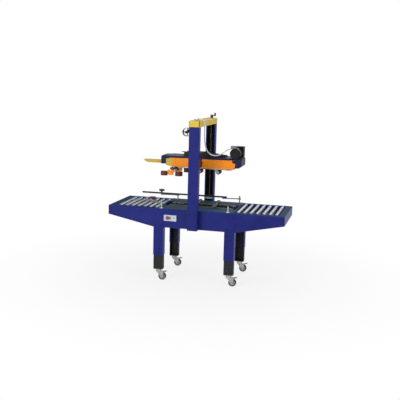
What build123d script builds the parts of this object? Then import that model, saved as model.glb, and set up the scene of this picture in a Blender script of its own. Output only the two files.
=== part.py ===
"""Top-and-bottom belt carton sealer on castors: one STEP file for each sub-part.

Frame: millimetres, +X the way the cartons travel, -Y the operator's side, +Z up,
origin on the floor under the middle of the machine.
"""

import math
import os

from build123d import *

# ---------------------------------------------------------------- driving sizes
# bed
bed_length = 1720.0
bed_width = 610.0
bed_top = 708.0             # height of the side panels' top flange
panel_sheet = 3.0
panel_end_depth = 88.0
panel_middle_depth = 182.0
panel_taper_length = 460.0  # from each end to where the panel is at full depth
flange_width = 55.0
lip_depth = 45.0
end_flange_width = 62.0
deck_sheet = 3.0
deck_half_length = 380.0
deck_gap = 4.5              # between a deck plate and the belt frame

# gravity rollers
roller_count = 7
roller_pitch = 61.0
first_roller_x = 404.0
roller_radius = 19.0
roller_wall = 1.5
roller_rise = 5.0           # the rollers stand this far above the flange
roller_end_gap = 3.0
axle_radius = 5.0

# belts, the same above and below
belt_width = 50.0
belt_centre_y = 91.0
belt_thickness = 3.0
belt_rise = 6.0             # the lower belts stand this far above the flange
pulley_radius = 30.0
pulley_centre_x = 300.0
upper_idler_x = -258.0      # nearer the middle, to leave room for the tapered nose
pulley_width = 52.0
belt_frame_sheet = 3.0
belt_frame_half_length = 338.0
head_outer_plate_x0 = -286.0
drive_shaft_radius = 10.0

# tape heads, the same above and below
tape_head_half_width = 53.0
tape_head_back_x = -190.0
tape_head_front_x = 240.0
tape_roller_radius = 21.0
tape_roller_half_width = 38.0
tape_roller_reach = 55.0    # how far the rollers stand into the carton's path
front_roller_x = -20.0
rear_roller_x = 165.0
arm_pivot_offset = 70.0
arm_width = 22.0
pivot_pin_radius = 6.0

# legs and castors
leg_centre_x = 348.0
leg_width = 98.0
leg_depth = 64.0
leg_bottom = 251.0
leg_sheet = 3.0
inner_leg_bottom = 109.0
inner_leg_top = 412.0
castor_plate_thickness = 4.0
castor_trail = 38.0
wheel_radius = 37.5
wheel_width = 26.0
fork_gap = 2.5
wheel_axle_radius = 5.0

# columns, lead screws and top beam
column_width = 97.0
column_depth = 68.0
column_sheet = 3.0
column_slot = 76.0
column_top = 1500.0
screw_radius = 10.0
screw_foot = 742.0
beam_height = 56.0
beam_overhang = 4.0
beam_plate = 5.0
crank_length = 80.0
crank_angle = -53.0

# head
head_plane = 1085.0         # underside of the upper belts
head_frame_bottom = 1095.0
head_frame_top = 1178.0
cover_face_y = 130.0
cover_sheet = 2.0
cover_left_x = -271.0
cover_nose_x = -343.0
cover_right_x = 314.0
carriage_half_width = 22.0
tray_top = 1200.0

# clearances
running = 0.05              # radial, shaft in hole
slide_gap = 0.5             # between telescoping legs
free_gap = 1.0

# ---------------------------------------------------------------- worked-out sizes
half_length = bed_length / 2
half_width = bed_width / 2
column_outer_y = half_width + column_depth
screw_y = half_width + column_depth / 2
roller_axis_z = bed_top + roller_rise - roller_radius
lip_inner_y = half_width - flange_width + panel_sheet
lip_outer_y = half_width - flange_width
belt_top = bed_top + belt_rise
belt_inner_y = belt_centre_y - belt_width / 2
belt_outer_y = belt_centre_y + belt_width / 2
frame_inner_y = belt_centre_y - pulley_width / 2 - 1.0
frame_outer_y = belt_centre_y + pulley_width / 2 + 1.0
lower_pulley_z = belt_top - belt_thickness - pulley_radius
upper_pulley_z = head_plane + belt_thickness + pulley_radius
beam_top = column_top + beam_height
beam_half_width = column_width / 2 + beam_overhang
lower_roller_z = belt_top + tape_roller_reach - tape_roller_radius
upper_roller_z = head_plane - tape_roller_reach + tape_roller_radius


# ---------------------------------------------------------------- helpers
def block(x0, x1, y0, y1, z0, z1):
    """A box between two corners."""
    return Pos((x0 + x1) / 2, (y0 + y1) / 2, (z0 + z1) / 2) * Box(abs(x1 - x0), abs(y1 - y0), abs(z1 - z0))


def bar_x(x0, x1, y, z, radius):
    """A round bar along X."""
    return Pos((x0 + x1) / 2, y, z) * Rot(0, 90, 0) * Cylinder(radius, abs(x1 - x0))


def bar_y(x, y0, y1, z, radius):
    """A round bar along Y."""
    return Pos(x, (y0 + y1) / 2, z) * Rot(90, 0, 0) * Cylinder(radius, abs(y1 - y0))


def bar_z(x, y, z0, z1, radius):
    """A round bar along Z."""
    return Pos(x, y, (z0 + z1) / 2) * Cylinder(radius, abs(z1 - z0))


def sheet_xz(points, y0, y1):
    """A flat sheet cut to an outline of (x, z) points, from y0 to y1."""
    wire = Wire.make_polygon([Vector(x, y0, z) for x, z in points], close=True)
    return Solid.extrude(Face(wire), Vector(0, y1 - y0, 0))


def sheet_yz(points, x0, x1):
    """A flat sheet cut to an outline of (y, z) points, from x0 to x1."""
    wire = Wire.make_polygon([Vector(x0, y, z) for y, z in points], close=True)
    return Solid.extrude(Face(wire), Vector(x1 - x0, 0, 0))


def sheet_xy(points, z0, z1):
    """A flat sheet cut to an outline of (x, y) points, from z0 to z1."""
    wire = Wire.make_polygon([Vector(x, y, z0) for x, y in points], close=True)
    return Solid.extrude(Face(wire), Vector(0, 0, z1 - z0))


def mirrored_y(shape):
    """The same shape on the other side of the machine."""
    return mirror(shape, about=Plane.XZ)


def both_sides(shape):
    """A shape and its mirror image across the machine."""
    return [shape, mirrored_y(shape)]


def star_knob(x, y, z, radius=30.0, height=18.0, hub=9.0, hub_height=14.0):
    """A five-lobed clamping knob with its hub below it, standing on (x, y, z)."""
    lobe = radius * 0.36
    knob = bar_z(x, y, z + hub_height, z + hub_height + height, radius - lobe)
    for turn in range(5):
        angle = math.radians(72 * turn + 18)
        lobe_x = x + (radius - lobe) * math.cos(angle)
        lobe_y = y + (radius - lobe) * math.sin(angle)
        knob += bar_z(lobe_x, lobe_y, z + hub_height, z + hub_height + height, lobe)
    knob += bar_z(x, y, z, z + hub_height, hub)
    return knob


def save(node, *shapes):
    """Write one node; several shapes become a group of separate solids."""
    solids = []
    for shape in shapes:
        group = shape if isinstance(shape, (list, tuple)) else [shape]
        for item in group:
            solids.extend(item.solids())
    export_step(Compound(children=solids), f"parts/{node}.step")


# ---------------------------------------------------------------- bed
def side_panel():
    """Far side panel: web, top flange and inner lip that carries the rollers."""
    taper_x = half_length - panel_taper_length
    end_z = bed_top - panel_end_depth
    middle_z = bed_top - panel_middle_depth
    outline = [
        (-half_length, bed_top),
        (half_length, bed_top),
        (half_length, end_z),
        (taper_x, middle_z),
        (-taper_x, middle_z),
        (-half_length, end_z),
    ]
    panel = sheet_xz(outline, half_width - panel_sheet, half_width)
    panel += block(-half_length, half_length, lip_outer_y, half_width, bed_top - panel_sheet, bed_top)
    lip_end = half_length - end_flange_width
    panel += block(-lip_end, lip_end, lip_outer_y, lip_inner_y, bed_top - lip_depth, bed_top)
    panel -= block(-half_length, -lip_end, 0, lip_inner_y + 4, bed_top - lip_depth, bed_top + 1)
    panel -= block(lip_end, half_length, 0, lip_inner_y + 4, bed_top - lip_depth, bed_top + 1)
    panel += block(-taper_x, taper_x, half_width - 26, half_width, middle_z, middle_z + panel_sheet)
    for x in roller_places():
        panel -= bar_y(x, lip_outer_y - 1, lip_inner_y + 1, roller_axis_z, axle_radius + running)
    return panel


control_x0 = -295.0
control_x1 = -171.0
control_z0 = 592.0
control_z1 = 650.0
control_rim = 8.0
control_body_x0 = -276.0


def side_panels():
    """Both side panels; the operator's side has the window for the controls."""
    far = side_panel()
    near = mirrored_y(side_panel())
    near -= block(
        control_body_x0 - 1, control_x1 - control_rim,
        -half_width - 1, -half_width + panel_sheet + 1,
        control_z0 + control_rim, control_z1 - control_rim,
    )
    save("side_panels", near, far)


def roller_places():
    """X positions of the roller axles on both halves of the bed."""
    places = [first_roller_x + i * roller_pitch for i in range(roller_count)]
    return [-x for x in reversed(places)] + places


def end_plate(side):
    """One end plate with its top flange."""
    outer = side * half_length
    inner = side * (half_length - panel_sheet)
    web_y = half_width - panel_sheet
    plate = block(inner, outer, -web_y, web_y, bed_top - panel_end_depth, bed_top)
    flange_y = lip_inner_y + 3.6
    flange_end = side * (half_length - end_flange_width)
    plate -= block(inner, outer, flange_y, web_y, bed_top - panel_sheet, bed_top)
    plate -= block(inner, outer, -web_y, -flange_y, bed_top - panel_sheet, bed_top)
    plate += block(flange_end, inner, -flange_y, flange_y, bed_top - panel_sheet, bed_top)
    plate += block(flange_end, flange_end + side * panel_sheet, -flange_y + 4, flange_y - 4,
                   bed_top - lip_depth, bed_top)
    return plate


cross_member_x = pulley_centre_x
cross_member_z = 580.0
cross_member_size = 40.0
belt_frame_bottom = cross_member_z + cross_member_size


def cross_member(x):
    """A square tube between the side panels, under the belt drive."""
    size = cross_member_size
    reach = half_width - panel_sheet
    tube = block(x - size / 2, x + size / 2, -reach, reach, cross_member_z, cross_member_z + size)
    bore = size / 2 - 3
    tube -= block(x - bore, x + bore, -reach - 1, reach + 1, cross_member_z + 3, cross_member_z + size - 3)
    return tube


def deck_rail(side):
    """Angle across the bed where the deck plates end."""
    reach = lip_outer_y
    low = bed_top - lip_depth
    rail = block(side * (deck_half_length - 27), side * deck_half_length, -reach, reach, bed_top - 3, bed_top)
    rail += block(side * (deck_half_length - 3), side * deck_half_length, -reach, reach, low, bed_top)
    return rail


def cross_frame():
    """End plates, the two tubes under the drive and the two deck rails."""
    pieces = [end_plate(-1), end_plate(1)]
    pieces += [cross_member(-cross_member_x), cross_member(cross_member_x)]
    pieces += [deck_rail(-1), deck_rail(1)]
    save("cross_frame", pieces)


def deck_plates():
    """Two sheets beside the belts, each with a hem turned down along the belts."""
    inner = frame_outer_y + belt_frame_sheet + deck_gap - 3
    plate = block(-deck_half_length, deck_half_length, inner, half_width - 2, bed_top, bed_top + deck_sheet)
    hem_end = deck_half_length - 28
    plate += block(-hem_end, hem_end, inner, inner + 2, bed_top - 16, bed_top + deck_sheet)
    save("deck_plates_and_posts", both_sides(plate), guide_posts())


def outer_leg(x, side):
    """Bent channel: its web runs up the outside of the panel, its flanges stop under it."""
    face = half_width
    web = block(x - leg_width / 2, x + leg_width / 2, face, face + leg_sheet, leg_bottom, bed_top - 18)
    flange_top = bed_top - panel_middle_depth - 0.5
    inner_y = face + leg_sheet - leg_depth
    leg = web
    for edge in (-1, 1):
        outer_x = x + edge * leg_width / 2
        leg += block(outer_x, outer_x - edge * leg_sheet, inner_y, face + leg_sheet, leg_bottom, flange_top)
        lip_x = outer_x - edge * 14
        leg += block(outer_x, lip_x, inner_y, inner_y + leg_sheet, leg_bottom, flange_top)
    return leg if side > 0 else mirrored_y(leg)


def inner_leg(x, side):
    """Telescoping channel with a foot plate for the castor."""
    face = half_width - slide_gap
    half = leg_width / 2 - leg_sheet - slide_gap
    inner_y = half_width + leg_sheet - leg_depth + leg_sheet + slide_gap
    leg = block(x - half, x + half, face - leg_sheet, face, inner_leg_bottom, inner_leg_top)
    for edge in (-1, 1):
        outer_x = x + edge * half
        leg += block(outer_x, outer_x - edge * leg_sheet, inner_y, face, inner_leg_bottom, inner_leg_top)
    leg += block(x - half, x + half, inner_y, face, inner_leg_bottom, inner_leg_bottom + 5)
    return leg if side > 0 else mirrored_y(leg)


def castor_plate(x, side):
    """Fixed top plate of a castor, bolted under the foot plate."""
    y = side * leg_axis_y
    top = inner_leg_bottom
    plate = block(x - 40, x + 40, y - 27, y + 27, top - castor_plate_thickness, top)
    return plate


leg_axis_y = half_width + leg_sheet - leg_depth / 2


def leg_places():
    """(name, x, side) of the four legs; side -1 is the operator's side."""
    return [
        ("near_infeed", -leg_centre_x, -1),
        ("near_outfeed", leg_centre_x, -1),
        ("far_infeed", -leg_centre_x, 1),
        ("far_outfeed", leg_centre_x, 1),
    ]


def legs():
    """Outer legs on the bed, inner legs that carry the castors."""
    save("outer_legs", [outer_leg(x, side) for name, x, side in leg_places()])
    pieces = []
    for name, x, side in leg_places():
        pieces.append(inner_leg(x, side))
        pieces.append(castor_plate(x, side))
    save("inner_legs", pieces)


# ---------------------------------------------------------------- castors
def castor_fork(x, y):
    """Swivel head, two cheeks, axle bolt and brake pedal of one castor."""
    wheel_x = x + castor_trail
    crown_top = inner_leg_bottom - castor_plate_thickness - 0.4
    crown_z = 2 * wheel_radius + 6
    cheek_y = wheel_width / 2 + fork_gap
    fork = bar_z(x, y, crown_z, crown_top, 27)
    fork += block(x - 20, wheel_x + 16, y - cheek_y - 2.5, y + cheek_y + 2.5, crown_z, crown_z + 4)
    for side in (-1, 1):
        outline = [
            (x - 20, crown_z + 4),
            (wheel_x + 16, crown_z + 4),
            (wheel_x + 13, wheel_radius - 6),
            (wheel_x + 6, wheel_radius - 13),
            (wheel_x - 6, wheel_radius - 13),
            (wheel_x - 13, wheel_radius - 6),
        ]
        y0 = y + side * cheek_y
        cheek = sheet_xz(outline, y0, y0 + side * 2.5)
        cheek -= bar_y(wheel_x, y0 - 5, y0 + 5, wheel_radius, wheel_axle_radius)
        fork += cheek
    bolt = bar_y(wheel_x, y - cheek_y - 7, y + cheek_y + 7, wheel_radius, wheel_axle_radius)
    bolt += bar_y(wheel_x, y - cheek_y - 9, y - cheek_y - 2.6, wheel_radius, 8.5)
    bolt += bar_y(wheel_x, y + cheek_y + 2.6, y + cheek_y + 9, wheel_radius, 8.5)
    pedal_x = wheel_x + 16
    pedal_outline = [
        (pedal_x, crown_z),
        (pedal_x + 24, crown_z + 3),
        (pedal_x + 30, crown_z + 11),
        (pedal_x + 27, crown_z + 13),
        (pedal_x + 21, crown_z + 7),
        (pedal_x, crown_z + 4),
    ]
    pedal = sheet_xz(pedal_outline, y - 14, y + 14)
    return [fork, bolt, pedal]


def castor_wheel(x, y):
    """Rubber tyre on a plastic hub, bored for its axle bolt."""
    wheel_x = x + castor_trail
    half = wheel_width / 2
    hub_radius = wheel_radius - 9
    tyre = bar_y(wheel_x, y - half, y + half, wheel_radius, wheel_radius)
    tyre = fillet(tyre.edges().filter_by(GeomType.CIRCLE), 4)
    tyre -= bar_y(wheel_x, y - half - 1, y + half + 1, wheel_radius, hub_radius)
    hub = bar_y(wheel_x, y - half + 4, y + half - 4, wheel_radius, hub_radius)
    hub += bar_y(wheel_x, y - half - 1.5, y + half + 1.5, wheel_radius, 11)
    hub -= bar_y(wheel_x, y - half - 3, y + half + 3, wheel_radius, wheel_axle_radius + running)
    return [tyre, hub]


def castors():
    """Four swivel castors, a fork node and a wheel node each."""
    for name, x, side in leg_places():
        y = side * leg_axis_y
        save(f"castor_fork_{name}", castor_fork(x, y))
        save(f"castor_wheel_{name}", castor_wheel(x, y))


# ---------------------------------------------------------------- gravity rollers
def gravity_roller(x):
    """Steel tube, two end bearings and the axle whose ends turn in the lips."""
    end_y = lip_outer_y - roller_end_gap
    z = roller_axis_z
    tube = bar_y(x, -end_y, end_y, z, roller_radius)
    tube -= bar_y(x, -end_y - 1, end_y + 1, z, roller_radius - roller_wall)
    caps = []
    for side in (-1, 1):
        cap = bar_y(x, side * (end_y - 12), side * end_y, z, roller_radius - roller_wall)
        cap -= bar_y(x, side * (end_y - 13), side * (end_y + 1), z, axle_radius)
        caps.append(cap)
    reach = lip_inner_y + 5
    axle = bar_y(x, -reach, reach, z, axle_radius)
    return [tube, axle] + caps


def gravity_rollers():
    """Seven rollers before the belts and seven after them."""
    places = roller_places()
    for index in range(roller_count):
        save(f"infeed_roller_{index + 1}", gravity_roller(places[index]))
        save(f"outfeed_roller_{index + 1}", gravity_roller(places[roller_count + index]))


# ---------------------------------------------------------------- belt drives
def belt_loop(y, idler_x, pulley_z):
    """One flat belt round its idler and its driven pulley."""
    outer = pulley_radius + belt_thickness
    inside = pulley_radius + 0.3
    half = belt_width / 2
    loop = block(idler_x, pulley_centre_x, y - half, y + half, pulley_z - outer, pulley_z + outer)
    hollow = block(idler_x, pulley_centre_x, y - half - 1, y + half + 1, pulley_z - inside, pulley_z + inside)
    for x in (idler_x, pulley_centre_x):
        loop += bar_y(x, y - half, y + half, pulley_z, outer)
        hollow += bar_y(x, y - half - 1, y + half + 1, pulley_z, inside)
    return loop - hollow


def pulley_pair(x, z, shaft_reach, far_reach=None):
    """Two crowned pulleys keyed on one through shaft."""
    far_reach = far_reach or shaft_reach
    pieces = [bar_y(x, -shaft_reach, far_reach, z, drive_shaft_radius)]
    for side in (-1, 1):
        y0 = side * (belt_centre_y - pulley_width / 2)
        y1 = side * (belt_centre_y + pulley_width / 2)
        pulley = bar_y(x, y0, y1, z, pulley_radius)
        pulley -= bar_y(x, y0 - side * 1, y1 + side * 1, z, drive_shaft_radius)
        pieces.append(pulley)
    return pieces


def belt_frame_plates(outer_x0, z0, z1, pulley_z, shaft_holes):
    """The four long plates that carry the pulleys, bored for the shafts."""
    plates = []
    reach = belt_frame_half_length
    for x0, inner in ((-reach, frame_inner_y - belt_frame_sheet), (outer_x0, frame_outer_y)):
        plate = block(x0, reach, inner, inner + belt_frame_sheet, z0, z1)
        for x in shaft_holes:
            plate -= bar_y(x, inner - 1, inner + belt_frame_sheet + 1, pulley_z, drive_shaft_radius + running)
        plates += both_sides(plate)
    return plates


lower_frame_top = bed_top - 4.0
slider_reach = pulley_centre_x - pulley_radius - 8


def lower_drive_frame():
    """Plates, slider beds and idler pulleys of the lower belts, standing on the cross tubes."""
    plates = belt_frame_plates(
        -belt_frame_half_length, belt_frame_bottom, lower_frame_top, lower_pulley_z,
        (-pulley_centre_x, pulley_centre_x),
    )
    slider_top = belt_top - belt_thickness - 0.5
    slider = block(-slider_reach, slider_reach, frame_inner_y - belt_frame_sheet,
                   frame_outer_y + belt_frame_sheet, lower_frame_top, slider_top)
    idlers = pulley_pair(-pulley_centre_x, lower_pulley_z, frame_outer_y + 8)
    save("lower_drive_frame", plates, both_sides(slider), idlers)


sprocket_radius = 22.0
sprocket_y = frame_outer_y + belt_frame_sheet + 14.0
gearbox_x = 220.0
gearbox_z = 606.0
gearbox_half = 40.0


def lower_drive():
    """Lower pulleys, the belts with the drive chain, and the gear motor below them."""
    drive = pulley_pair(pulley_centre_x, lower_pulley_z, frame_outer_y + 8, sprocket_y + 8)
    sprocket = bar_y(pulley_centre_x, sprocket_y - 3, sprocket_y + 3, lower_pulley_z, sprocket_radius)
    sprocket -= bar_y(pulley_centre_x, sprocket_y - 4, sprocket_y + 4, lower_pulley_z, drive_shaft_radius)
    save("lower_drive_pulleys", drive, sprocket)
    chain_inner = sprocket_radius + 0.4
    chain_outer = sprocket_radius + 5.0
    run_x = pulley_centre_x - gearbox_x
    run_z = lower_pulley_z - gearbox_z
    run = math.hypot(run_x, run_z)
    slope = -math.degrees(math.atan2(run_z, run_x))

    def race(radius, width):
        """A rounded slab round both sprocket centres."""
        middle_x = (pulley_centre_x + gearbox_x) / 2
        middle_z = (lower_pulley_z + gearbox_z) / 2
        slab = Pos(middle_x, sprocket_y, middle_z) * Rot(0, slope, 0) * Box(run, width, 2 * radius)
        slab += bar_y(pulley_centre_x, sprocket_y - width / 2, sprocket_y + width / 2, lower_pulley_z, radius)
        slab += bar_y(gearbox_x, sprocket_y - width / 2, sprocket_y + width / 2, gearbox_z, radius)
        return slab

    chain = race(chain_outer, 6) - race(chain_inner, 8)
    belts = both_sides(belt_loop(belt_centre_y, -pulley_centre_x, lower_pulley_z))
    save("lower_belts_and_chain", belts, chain)
    gearbox_y0 = sprocket_y + 8
    gearbox_y1 = gearbox_y0 + 62
    face_x = cross_member_x - cross_member_size / 2
    gearbox = block(gearbox_x - gearbox_half, face_x, gearbox_y0, gearbox_y1,
                    gearbox_z - gearbox_half, gearbox_z + gearbox_half)
    motor_sprocket = bar_y(gearbox_x, sprocket_y - 3, sprocket_y + 3, gearbox_z, sprocket_radius)
    motor_sprocket += bar_y(gearbox_x, sprocket_y + 3, gearbox_y0, gearbox_z, 8)
    motor = bar_y(gearbox_x, gearbox_y1, half_width - panel_sheet - 8, gearbox_z, 43)
    save("lower_gear_motor", gearbox, motor, motor_sprocket)


# ---------------------------------------------------------------- tape heads
def tape_arm(pivot_x, pivot_z, roller_x, roller_z, arm_lean):
    """Two cheeks, a pivot tube, a roller shaft and a soft roller."""
    run = math.hypot(roller_x - pivot_x, roller_z - pivot_z)
    slope = -math.degrees(math.atan2(roller_z - pivot_z, roller_x - pivot_x))
    cheek_y = tape_roller_half_width + 2
    pieces = []
    for side in (-1, 1):
        middle = Pos((pivot_x + roller_x) / 2, side * (cheek_y + 1.5), (pivot_z + roller_z) / 2)
        cheek = middle * Rot(0, slope, 0) * Box(run, 3, arm_width)
        y0 = side * cheek_y
        y1 = side * (cheek_y + 3)
        cheek += bar_y(pivot_x, y0, y1, pivot_z, arm_width / 2)
        cheek += bar_y(roller_x, y0, y1, roller_z, arm_width / 2)
        cheek -= bar_y(pivot_x, -60, 60, pivot_z, pivot_pin_radius + running)
        cheek -= bar_y(roller_x, -60, 60, roller_z, 4)
        pieces.append(cheek)
    tube = bar_y(pivot_x, -cheek_y, cheek_y, pivot_z, 9)
    tube -= bar_y(pivot_x, -60, 60, pivot_z, pivot_pin_radius + running)
    shaft = bar_y(roller_x, -cheek_y - 3, cheek_y + 3, roller_z, 4)
    roller = bar_y(roller_x, -tape_roller_half_width, tape_roller_half_width, roller_z, tape_roller_radius)
    roller -= bar_y(roller_x, -60, 60, roller_z, 4)
    pieces += [tube, shaft, roller]
    if arm_lean:
        wiper_x = roller_x - arm_lean
        wiper_z = roller_z - arm_lean * (roller_z - pivot_z) / (roller_x - pivot_x)
        wiper = block(wiper_x - 2, wiper_x + 2, -cheek_y, cheek_y, wiper_z - 4, wiper_z + 4)
        pieces.append(wiper)
    return pieces


def tape_head_plates(top_points, z_of_pivots, up):
    """Two cheeks of a tape head with their pins, spacers, knife guard and side pegs."""
    half = tape_head_half_width
    pieces = []
    plate = sheet_xz(top_points, half - 3, half)
    for roller_x in (front_roller_x, rear_roller_x):
        plate -= bar_y(roller_x - arm_pivot_offset, half - 4, half + 1, z_of_pivots, pivot_pin_radius)
    pieces += both_sides(plate)
    for roller_x in (front_roller_x, rear_roller_x):
        x = roller_x - arm_pivot_offset
        pieces.append(bar_y(x, -half - 2, half + 2, z_of_pivots, pivot_pin_radius))
    spacer_z = z_of_pivots + up * 30
    for x in (tape_head_back_x + 14, tape_head_front_x - 20):
        pieces.append(bar_y(x, -half + 3, half - 3, spacer_z, 7))
    guard_x = (front_roller_x + rear_roller_x) / 2 - 30
    guard = block(guard_x - 5, guard_x + 5, -half + 3, half - 3, z_of_pivots - 8, z_of_pivots + 8)
    pieces.append(guard)
    for side in (-1, 1):
        for x in (tape_head_back_x + 30, tape_head_front_x - 30):
            pieces.append(bar_y(x, side * half, side * (frame_inner_y - belt_frame_sheet), spacer_z - up * 12, 7))
    return pieces


lower_pivot_z = lower_roller_z - arm_pivot_offset
upper_pivot_z = upper_roller_z + arm_pivot_offset
lower_tape_head_bottom = 578.0
upper_tape_head_bottom = 1100.0


def tape_heads():
    """The lower tape cartridge, the upper one, and their roller arms."""
    back = tape_head_back_x
    front = tape_head_front_x
    top = bed_top + 2
    low = lower_tape_head_bottom
    outline = [(back, low + 30), (back + 30, low), (front - 60, low), (front, low + 50), (front, top), (back, top)]
    lower = tape_head_plates(outline, lower_pivot_z, -1)
    reel_x = back + 80
    reel_z = low + 38
    core = bar_y(reel_x, -28, 28, reel_z, 34) - bar_y(reel_x, -29, 29, reel_z, 10)
    reel_shaft = bar_y(reel_x, -tape_head_half_width + 3, tape_head_half_width - 3, reel_z, 10)
    save("lower_tape_head", lower, core, reel_shaft)
    bottom = upper_tape_head_bottom
    peak = head_frame_top + 62
    outline = [
        (back + 15, bottom), (back, bottom + 18), (back + 15, peak - 4), (back + 22, peak),
        (front_roller_x + 20, peak), (front - 5, peak - 26), (front, bottom + 14), (front - 12, bottom),
    ]
    upper = tape_head_plates(outline, upper_pivot_z, 1)
    bridge_z = peak - 16
    bridge = block(back + 24, front_roller_x + 20, -tape_head_half_width + 3, tape_head_half_width - 3,
                   bridge_z, bridge_z + 12)
    grip = block(back - 22, back + 2, -8, 8, peak - 10, peak - 4)
    grip += block(back - 3, back + 24, -8, 8, peak - 12, peak - 4)
    ramp = [
        (front_roller_x + 20, bridge_z - 1), (front - 8, bridge_z - 27),
        (front - 8, bridge_z - 18), (front_roller_x + 20, bridge_z + 8),
    ]
    cover = sheet_xz(ramp, -tape_head_half_width + 3, tape_head_half_width - 3)
    save("upper_tape_head", upper, bridge, grip, cover)
    for place, roller_z, pivot_z in (
        ("lower", lower_roller_z, lower_pivot_z),
        ("upper", upper_roller_z, upper_pivot_z),
    ):
        front_arm = tape_arm(front_roller_x - arm_pivot_offset, pivot_z, front_roller_x, roller_z, 0)
        rear_arm = tape_arm(rear_roller_x - arm_pivot_offset, pivot_z, rear_roller_x, roller_z, 26)
        save(f"{place}_front_tape_arm", front_arm)
        save(f"{place}_rear_tape_arm", rear_arm)


# ---------------------------------------------------------------- columns and lift
def column():
    """Far column: a channel open towards the head, with foot block and screw bearing."""
    half = column_width / 2
    y0 = half_width
    y1 = column_outer_y
    z0 = bed_top - panel_middle_depth
    t = column_sheet
    channel = block(-half, half, y0, y1, z0, column_top)
    channel = fillet(channel.edges().filter_by(Axis.Z).group_by(Axis.Y)[-1], 5)
    channel -= block(-half + t, half - t, y0 + t, y1 - t, z0 - 1, column_top + 1)
    channel -= block(-column_slot / 2, column_slot / 2, y0 - 1, y0 + t + 1, z0 - 1, column_top + 1)
    bearing_top = screw_foot + 12
    bearing = block(-half + t, half - t, y0 + t, y1 - t, bearing_top - 24, bearing_top)
    bearing -= bar_z(0, screw_y, bearing_top - 13, bearing_top + 1, screw_radius + running)
    return [channel, bearing]


def lift():
    """Columns, beam, lead screws with their sprockets, and the crank."""
    far = column()
    save("columns", far, [mirrored_y(piece) for piece in far])
    half = beam_half_width
    base = block(-half, half, -column_outer_y, column_outer_y, column_top, column_top + beam_plate)
    base = fillet(base.edges().filter_by(Axis.Z), 14)
    shell_z = column_top + beam_plate
    shell = block(-half, half, -column_outer_y, column_outer_y, shell_z, beam_top)
    shell = fillet(shell.edges().filter_by(Axis.Z), 14)
    shell = fillet(shell.faces().sort_by(Axis.Z)[-1].edges(), 3)
    shell -= block(-half + 2, half - 2, -column_outer_y + 2, column_outer_y - 2, shell_z - 1, beam_top - 2)
    for side in (-1, 1):
        hole = bar_z(0, side * screw_y, column_top - 1, beam_top + 1, screw_radius + running)
        base -= hole
        shell -= hole
    pieces = [base, shell]
    for x, y in ((-32, -screw_y), (30, -screw_y), (-32, screw_y), (32, screw_y), (0, -150), (0, 150)):
        pieces.append(bar_z(x, y, beam_top, beam_top + 4, 5.5))
    save("top_beam", pieces, reel_bracket(), cable_gland())
    sprocket_z = column_top + beam_plate + 14
    for name, side in (("near", -1), ("far", 1)):
        y = side * screw_y
        top = beam_top + (14 if side < 0 else 26)
        screw = bar_z(0, y, screw_foot, top, screw_radius)
        sprocket = bar_z(0, y, sprocket_z, sprocket_z + 7, 30)
        sprocket -= bar_z(0, y, sprocket_z - 1, sprocket_z + 8, screw_radius)
        nut_z = beam_top + 1
        nut = bar_z(0, y, nut_z, nut_z + 9, 14) - bar_z(0, y, nut_z - 1, nut_z + 10, screw_radius)
        extra = [nut] if side < 0 else []
        save(f"lead_screw_{name}", screw, sprocket, extra)
    hub_z = beam_top + 1
    angle = math.radians(crank_angle)
    end_x = crank_length * math.cos(angle)
    end_y = screw_y + crank_length * math.sin(angle)
    crank = bar_z(0, screw_y, hub_z, hub_z + 30, 15)
    arm_place = Pos(end_x / 2, (screw_y + end_y) / 2, hub_z + 25) * Rot(0, 0, crank_angle)
    crank += arm_place * Box(crank_length, 14, 8)
    crank += bar_z(end_x, end_y, hub_z + 21, hub_z + 29, 9)
    crank -= bar_z(0, screw_y, hub_z - 1, beam_top + 26, screw_radius)
    grip = bar_z(end_x, end_y, hub_z + 29.5, hub_z + 52, 9)
    grip = fillet(grip.edges().filter_by(GeomType.CIRCLE), 3)
    save("lift_crank", crank, grip)


reel_x = -166.0
reel_z = 1426.0
reel_radius = 42.0
reel_half_width = 24.0
mandrel_radius = 8.0


def reel_bracket():
    """Arm and mandrel that carry the upper tape core beside the beam."""
    y0 = reel_half_width + 4
    outline = [
        (-beam_half_width - 0.2, column_top + 36),
        (-beam_half_width - 0.2, column_top + 6),
        (reel_x - 8, reel_z - 12),
        (reel_x - 14, reel_z + 6),
        (reel_x - 6, reel_z + 14),
    ]
    arm = sheet_xz(outline, y0, y0 + 5)
    foot = block(-beam_half_width - 4, -beam_half_width, y0 - 20, y0 + 25, column_top + 6, column_top + 40)
    arm += foot
    mandrel = bar_y(reel_x, -reel_half_width - 8, y0, reel_z, mandrel_radius)
    mandrel += bar_y(reel_x, -reel_half_width - 12, -reel_half_width - 4, reel_z, 13)
    return [arm, mandrel]


def tape_reel():
    """Upper tape core holder: a thin ring, four spokes and a bored hub."""
    ring = bar_y(reel_x, -reel_half_width, reel_half_width, reel_z, reel_radius)
    ring -= bar_y(reel_x, -30, 30, reel_z, reel_radius - 4)
    spoke = reel_radius - 2
    y0 = reel_half_width - 7
    ring += block(reel_x - spoke, reel_x + spoke, y0, reel_half_width, reel_z - 4, reel_z + 4)
    ring += block(reel_x - 4, reel_x + 4, y0, reel_half_width, reel_z - spoke, reel_z + spoke)
    ring += bar_y(reel_x, -reel_half_width, reel_half_width, reel_z, 14)
    ring -= bar_y(reel_x, -30, 30, reel_z, mandrel_radius + running)
    save("tape_reel", ring)


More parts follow.
